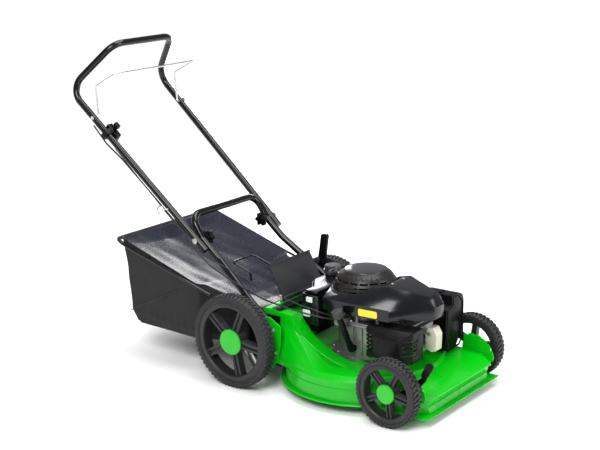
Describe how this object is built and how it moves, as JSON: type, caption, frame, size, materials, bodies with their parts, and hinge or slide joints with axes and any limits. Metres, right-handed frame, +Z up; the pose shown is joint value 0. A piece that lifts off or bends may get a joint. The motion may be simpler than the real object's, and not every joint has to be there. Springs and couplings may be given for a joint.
{
  "type": "petrol lawn mower",
  "caption": "Walk-behind petrol rotary mower with a pressed deck, large rear wheels, folding handle, stop bail and rear grass bag.",
  "frame": {"origin": "on the ground under the middle of the rear axle, which is also the bottom centre of the whole mower's box", "axes": "+X forward, the way it mows; +Y to its left; +Z up"},
  "size_m": [1.3635, 0.542, 1.0049],
  "materials": {
    "green_paint": "gloss",
    "dark_green_paint": "satin",
    "zinc": "satin",
    "chrome_wire": "polished",
    "black_tube": "gloss",
    "tyre_rubber": "matte",
    "wheel_plastic": "satin",
    "green_plastic": "gloss",
    "black_plastic": "satin",
    "shroud_plastic": "gloss",
    "recoil_plastic": "satin",
    "charcoal_plate": "matte",
    "grey_plastic": "satin",
    "cast_aluminium": "cast",
    "cast_iron": "cast",
    "blade_steel": "ground",
    "cable_sheath": "satin",
    "rope": "braided",
    "ivory_plastic": "satin",
    "coated_cloth": "coated gloss",
    "mesh_cloth": "open weave",
    "hot_steel": "dull"
  },
  "bodies": {
    "chassis": {"deck_shell": "green_paint", "deck_baffle": "dark_green_paint", "rear_brackets": "green_paint", "front_brackets": "green_paint", "flap_rod": "zinc", "lower_handle": "black_tube", "pivot_bolts": "zinc", "engine_cables": "cable_sheath", "crankcase": "cast_aluminium", "cylinder_barrel": "cast_aluminium", "piston": "cast_aluminium", "engine_shroud": "shroud_plastic", "recoil_cover": "recoil_plastic", "starter_rope": "rope", "fuel_tank": "shroud_plastic", "air_filter_box": "black_plastic", "muffler": "hot_steel", "muffler_guard": "black_plastic", "spark_plug": "zinc", "oil_tube": "black_plastic", "engine_bolts": "zinc"},
    "rear_flap": {"rear_flap": "charcoal_plate"},
    "rear_axle": {"rear_axle": "zinc", "rear_lever": "black_tube", "rear_lever_grip": "black_plastic"},
    "front_axle": {"front_axle": "zinc", "front_lever": "black_tube", "front_lever_grip": "black_plastic"},
    "upper_handle": {"upper_handle": "black_tube", "rope_guide": "zinc", "throttle_housing": "black_plastic", "handle_cables": "cable_sheath"},
    "right_knob": {"right_knob": "black_plastic"},
    "left_knob": {"left_knob": "black_plastic"},
    "bail": {"bail": "chrome_wire"},
    "throttle_lever": {"throttle_lever": "black_plastic"},
    "rotor": {"crankshaft": "zinc", "flywheel": "cast_iron", "blade": "blade_steel", "blade_bolt": "zinc"},
    "starter_grip": {"starter_grip": "grey_plastic"},
    "fuel_cap": {"fuel_cap": "grey_plastic"},
    "air_filter_cover": {"air_filter_cover": "black_plastic"},
    "plug_boot": {"plug_boot": "ivory_plastic"},
    "dipstick": {"dipstick": "grey_plastic"},
    "grass_bag": {"bag_frame": "black_tube", "bag_top": "coated_cloth", "bag_mesh": "mesh_cloth"},
    "rear_right_wheel": {"rear_right_tyre": "tyre_rubber", "rear_right_rim": "wheel_plastic", "rear_right_cap": "green_plastic"},
    "rear_left_wheel": {"rear_left_tyre": "tyre_rubber", "rear_left_rim": "wheel_plastic", "rear_left_cap": "green_plastic"},
    "front_right_wheel": {"front_right_tyre": "tyre_rubber", "front_right_rim": "wheel_plastic", "front_right_cap": "green_plastic"},
    "front_left_wheel": {"front_left_tyre": "tyre_rubber", "front_left_rim": "wheel_plastic", "front_left_cap": "green_plastic"}
  },
  "joints": [
    {"name": "rear_flap_hinge", "type": "hinge", "parent": "chassis", "child": "rear_flap", "pos_m": [0.072, 0, 0.249], "axis": [0, 1, 0], "range_deg": [0, 40], "stiffness_Nm_per_rad": 0.15, "springref_deg": -28.65},
    {"name": "rear_height", "type": "hinge", "parent": "chassis", "child": "rear_axle", "pos_m": [0.052, 0, 0.072], "axis": [0, 1, 0], "range_deg": [-8, 10]},
    {"name": "front_height", "type": "hinge", "parent": "chassis", "child": "front_axle", "pos_m": [0.569, 0, 0.078], "axis": [0, 1, 0], "range_deg": [-15, 15]},
    {"name": "handle_fold", "type": "hinge", "parent": "chassis", "child": "upper_handle", "pos_m": [-0.194, 0, 0.413], "axis": [0, 1, 0], "range_deg": [0, 120]},
    {"name": "right_knob_turn", "type": "hinge", "parent": "chassis", "child": "right_knob", "pos_m": [-0.194, -0.14, 0.413], "axis": [0, 1, 0], "range_deg": [0, 720]},
    {"name": "left_knob_turn", "type": "hinge", "parent": "chassis", "child": "left_knob", "pos_m": [-0.194, 0.14, 0.413], "axis": [0, -1, 0], "range_deg": [0, 720]},
    {"name": "bail_squeeze", "type": "hinge", "parent": "upper_handle", "child": "bail", "pos_m": [-0.598, 0, 0.764], "axis": [0, -1, 0], "range_deg": [0, 32], "stiffness_Nm_per_rad": 1, "springref_deg": -22.92},
    {"name": "throttle_turn", "type": "hinge", "parent": "upper_handle", "child": "throttle_lever", "pos_m": [-0.5493, -0.178, 0.7141], "axis": [0, 1, 0], "range_deg": [-18, 18]},
    {"name": "crank_spin", "type": "hinge", "parent": "chassis", "child": "rotor", "pos_m": [0.312, 0, 0.1], "axis": [0, 0, 1], "continuous": true},
    {"name": "starter_pull", "type": "slide", "parent": "chassis", "child": "starter_grip", "axis": [-0.85, 0, 0.5268], "range_m": [0, 0.45], "stiffness_N_per_m": 20, "springref_m": -0.2},
    {"name": "fuel_cap_turn", "type": "hinge", "parent": "chassis", "child": "fuel_cap", "pos_m": [0.142, 0.066, 0.31], "axis": [0, 0, 1], "range_deg": [0, 180]},
    {"name": "air_filter_cover_hinge", "type": "hinge", "parent": "chassis", "child": "air_filter_cover", "pos_m": [0.486, 0.15, 0.281], "axis": [0, -1, 0], "range_deg": [0, 70]},
    {"name": "plug_boot_pull", "type": "slide", "parent": "chassis", "child": "plug_boot", "axis": [1, 0, 0], "range_m": [0, 0.04]},
    {"name": "dipstick_lift", "type": "slide", "parent": "chassis", "child": "dipstick", "axis": [-0.1656, -0.3036, 0.9383], "range_m": [0, 0.12]},
    {"name": "grass_bag_lift", "type": "slide", "parent": "chassis", "child": "grass_bag", "axis": [-0.96, 0, 0.28], "range_m": [0, 0.3]},
    {"name": "rear_right_wheel_spin", "type": "hinge", "parent": "rear_axle", "child": "rear_right_wheel", "pos_m": [0, -0.249, 0.145], "axis": [0, 1, 0], "continuous": true},
    {"name": "rear_left_wheel_spin", "type": "hinge", "parent": "rear_axle", "child": "rear_left_wheel", "pos_m": [0, 0.249, 0.145], "axis": [0, 1, 0], "continuous": true},
    {"name": "front_right_wheel_spin", "type": "hinge", "parent": "front_axle", "child": "front_right_wheel", "pos_m": [0.547, -0.235, 0.1], "axis": [0, 1, 0], "continuous": true},
    {"name": "front_left_wheel_spin", "type": "hinge", "parent": "front_axle", "child": "front_left_wheel", "pos_m": [0.547, 0.235, 0.1], "axis": [0, 1, 0], "continuous": true}
  ]
}
